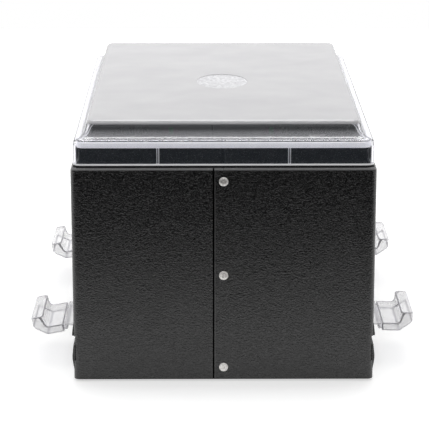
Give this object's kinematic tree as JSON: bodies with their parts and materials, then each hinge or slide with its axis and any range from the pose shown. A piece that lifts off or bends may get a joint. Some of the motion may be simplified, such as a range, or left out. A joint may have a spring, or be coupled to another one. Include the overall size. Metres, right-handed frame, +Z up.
{
  "type": "filament dryer box",
  "caption": "Folded black sheet-metal dryer case for filament spools, with a clear stepped lift-off lid, fold-down side hooks, rollers, a fan and a heater inside.",
  "frame": {"origin": "on the table, under the middle of the case", "axes": "+X across the case to the side with the filament outlets, +Y along the case to the control end, +Z up"},
  "size_m": [0.3402, 0.4064, 0.229],
  "materials": {
    "powder_coated_steel": "fine leather-textured black powder coat",
    "zinc_plated_steel": "zinc-plated sheet, dull",
    "aluminium_rivet": "tumbled aluminium",
    "steel": "bright drawn steel",
    "rubber": "matt black rubber",
    "painted_cover": "smooth dark grey paint",
    "clear_plastic": "clear moulded polycarbonate, the raised panel lightly frosted",
    "silicone": "translucent white silicone",
    "clear_hook_plastic": "clear moulded polycarbonate, slightly milky",
    "dark_plastic": "black moulded plastic, fine spark texture",
    "pale_plastic": "pale moulded plastic",
    "heater_fins": "folded aluminium fins",
    "heat_resistant_plastic": "glass-filled cream plastic",
    "display_glass": "dark tinted acrylic",
    "circuit_board": "solder-masked circuit board",
    "red_plastic": "glossy red plastic"
  },
  "bodies": {
    "case": {"body_left": "powder_coated_steel", "body_right": "powder_coated_steel", "base_pan": "powder_coated_steel", "chamber_floor": "powder_coated_steel", "partition": "powder_coated_steel", "power_supply": "zinc_plated_steel", "seam_rivets": "aluminium_rivet", "base_screws": "steel", "hook_pins": "steel", "shaft_left": "steel", "shaft_right": "steel", "rubber_feet": "rubber", "lid_gasket": "rubber", "bay_cover": "painted_cover", "hook_brackets": "clear_hook_plastic", "shaft_cradles": "dark_plastic", "fan_frame": "dark_plastic", "control_panel": "dark_plastic", "switch_housing": "dark_plastic", "power_inlet": "dark_plastic", "filament_outlets": "dark_plastic", "roller_spacers": "pale_plastic", "humidity_sensor": "pale_plastic", "heater_block": "heater_fins", "heater_frame": "heat_resistant_plastic", "display_window": "display_glass", "display_module": "circuit_board", "control_board": "circuit_board"},
    "lid": {"lid": "clear_plastic", "lid_seal": "silicone"},
    "desiccant_box": {"desiccant_box": "pale_plastic"},
    "desiccant_cover": {"desiccant_cover": "pale_plastic"},
    "fan_rotor": {"fan_rotor": "dark_plastic"},
    "power_rocker": {"power_rocker": "red_plastic"},
    "hook_left_near": {"hook_left_near": "clear_hook_plastic"},
    "hook_left_far": {"hook_left_far": "clear_hook_plastic"},
    "hook_right_near": {"hook_right_near": "clear_hook_plastic"},
    "hook_right_far": {"hook_right_far": "clear_hook_plastic"},
    "button_less": {"button_less": "pale_plastic"},
    "button_more": {"button_more": "pale_plastic"},
    "button_set": {"button_set": "pale_plastic"},
    "roller_left_1": {"roller_left_1": "dark_plastic"},
    "roller_left_2": {"roller_left_2": "dark_plastic"},
    "roller_left_3": {"roller_left_3": "dark_plastic"},
    "roller_left_4": {"roller_left_4": "dark_plastic"},
    "roller_right_1": {"roller_right_1": "dark_plastic"},
    "roller_right_2": {"roller_right_2": "dark_plastic"},
    "roller_right_3": {"roller_right_3": "dark_plastic"},
    "roller_right_4": {"roller_right_4": "dark_plastic"}
  },
  "joints": [
    {"name": "lid_lift", "type": "slide", "parent": "case", "child": "lid", "axis": [0, 0, 1], "range_m": [0, 0.06]},
    {"name": "hook_left_near_fold", "type": "hinge", "parent": "case", "child": "hook_left_near", "pos_m": [-0.1392, -0.12, 0.033], "axis": [0, -1, 0], "range_deg": [-11, 77]},
    {"name": "hook_left_far_fold", "type": "hinge", "parent": "case", "child": "hook_left_far", "pos_m": [-0.1392, 0.12, 0.033], "axis": [0, -1, 0], "range_deg": [-11, 77]},
    {"name": "hook_right_near_fold", "type": "hinge", "parent": "case", "child": "hook_right_near", "pos_m": [0.1392, -0.12, 0.033], "axis": [0, 1, 0], "range_deg": [-2, 86]},
    {"name": "hook_right_far_fold", "type": "hinge", "parent": "case", "child": "hook_right_far", "pos_m": [0.1392, 0.12, 0.033], "axis": [0, 1, 0], "range_deg": [-2, 86]},
    {"name": "roller_left_1_spin", "type": "hinge", "parent": "case", "child": "roller_left_1", "pos_m": [-0.06, -0.1555, 0.03], "axis": [0, 1, 0], "continuous": true},
    {"name": "roller_left_2_spin", "type": "hinge", "parent": "case", "child": "roller_left_2", "pos_m": [-0.06, -0.0845, 0.03], "axis": [0, 1, 0], "continuous": true},
    {"name": "roller_left_3_spin", "type": "hinge", "parent": "case", "child": "roller_left_3", "pos_m": [-0.06, -0.0135, 0.03], "axis": [0, 1, 0], "continuous": true},
    {"name": "roller_left_4_spin", "type": "hinge", "parent": "case", "child": "roller_left_4", "pos_m": [-0.06, 0.0575, 0.03], "axis": [0, 1, 0], "continuous": true},
    {"name": "roller_right_1_spin", "type": "hinge", "parent": "case", "child": "roller_right_1", "pos_m": [0.06, -0.1555, 0.03], "axis": [0, 1, 0], "continuous": true},
    {"name": "roller_right_2_spin", "type": "hinge", "parent": "case", "child": "roller_right_2", "pos_m": [0.06, -0.0845, 0.03], "axis": [0, 1, 0], "continuous": true},
    {"name": "roller_right_3_spin", "type": "hinge", "parent": "case", "child": "roller_right_3", "pos_m": [0.06, -0.0135, 0.03], "axis": [0, 1, 0], "continuous": true},
    {"name": "roller_right_4_spin", "type": "hinge", "parent": "case", "child": "roller_right_4", "pos_m": [0.06, 0.0575, 0.03], "axis": [0, 1, 0], "continuous": true},
    {"name": "fan_spin", "type": "hinge", "parent": "case", "child": "fan_rotor", "pos_m": [0, 0.122, 0.07], "axis": [0, 1, 0], "continuous": true},
    {"name": "button_less_press", "type": "slide", "parent": "case", "child": "button_less", "axis": [0, -1, 0], "range_m": [0, 0.0008], "stiffness_N_per_m": 400},
    {"name": "button_more_press", "type": "slide", "parent": "case", "child": "button_more", "axis": [0, -1, 0], "range_m": [0, 0.0008], "stiffness_N_per_m": 400},
    {"name": "button_set_press", "type": "slide", "parent": "case", "child": "button_set", "axis": [0, -1, 0], "range_m": [0, 0.0008], "stiffness_N_per_m": 400},
    {"name": "rocker_tip", "type": "hinge", "parent": "case", "child": "power_rocker", "pos_m": [0.078, 0.1975, 0.058], "axis": [1, 0, 0], "range_deg": [-12, 0]},
    {"name": "desiccant_lift", "type": "slide", "parent": "case", "child": "desiccant_box", "axis": [0, 0, 1], "range_m": [0, 0.1]},
    {"name": "desiccant_cover_lift", "type": "slide", "parent": "desiccant_box", "child": "desiccant_cover", "axis": [0, 0, 1], "range_m": [0, 0.03]}
  ]
}
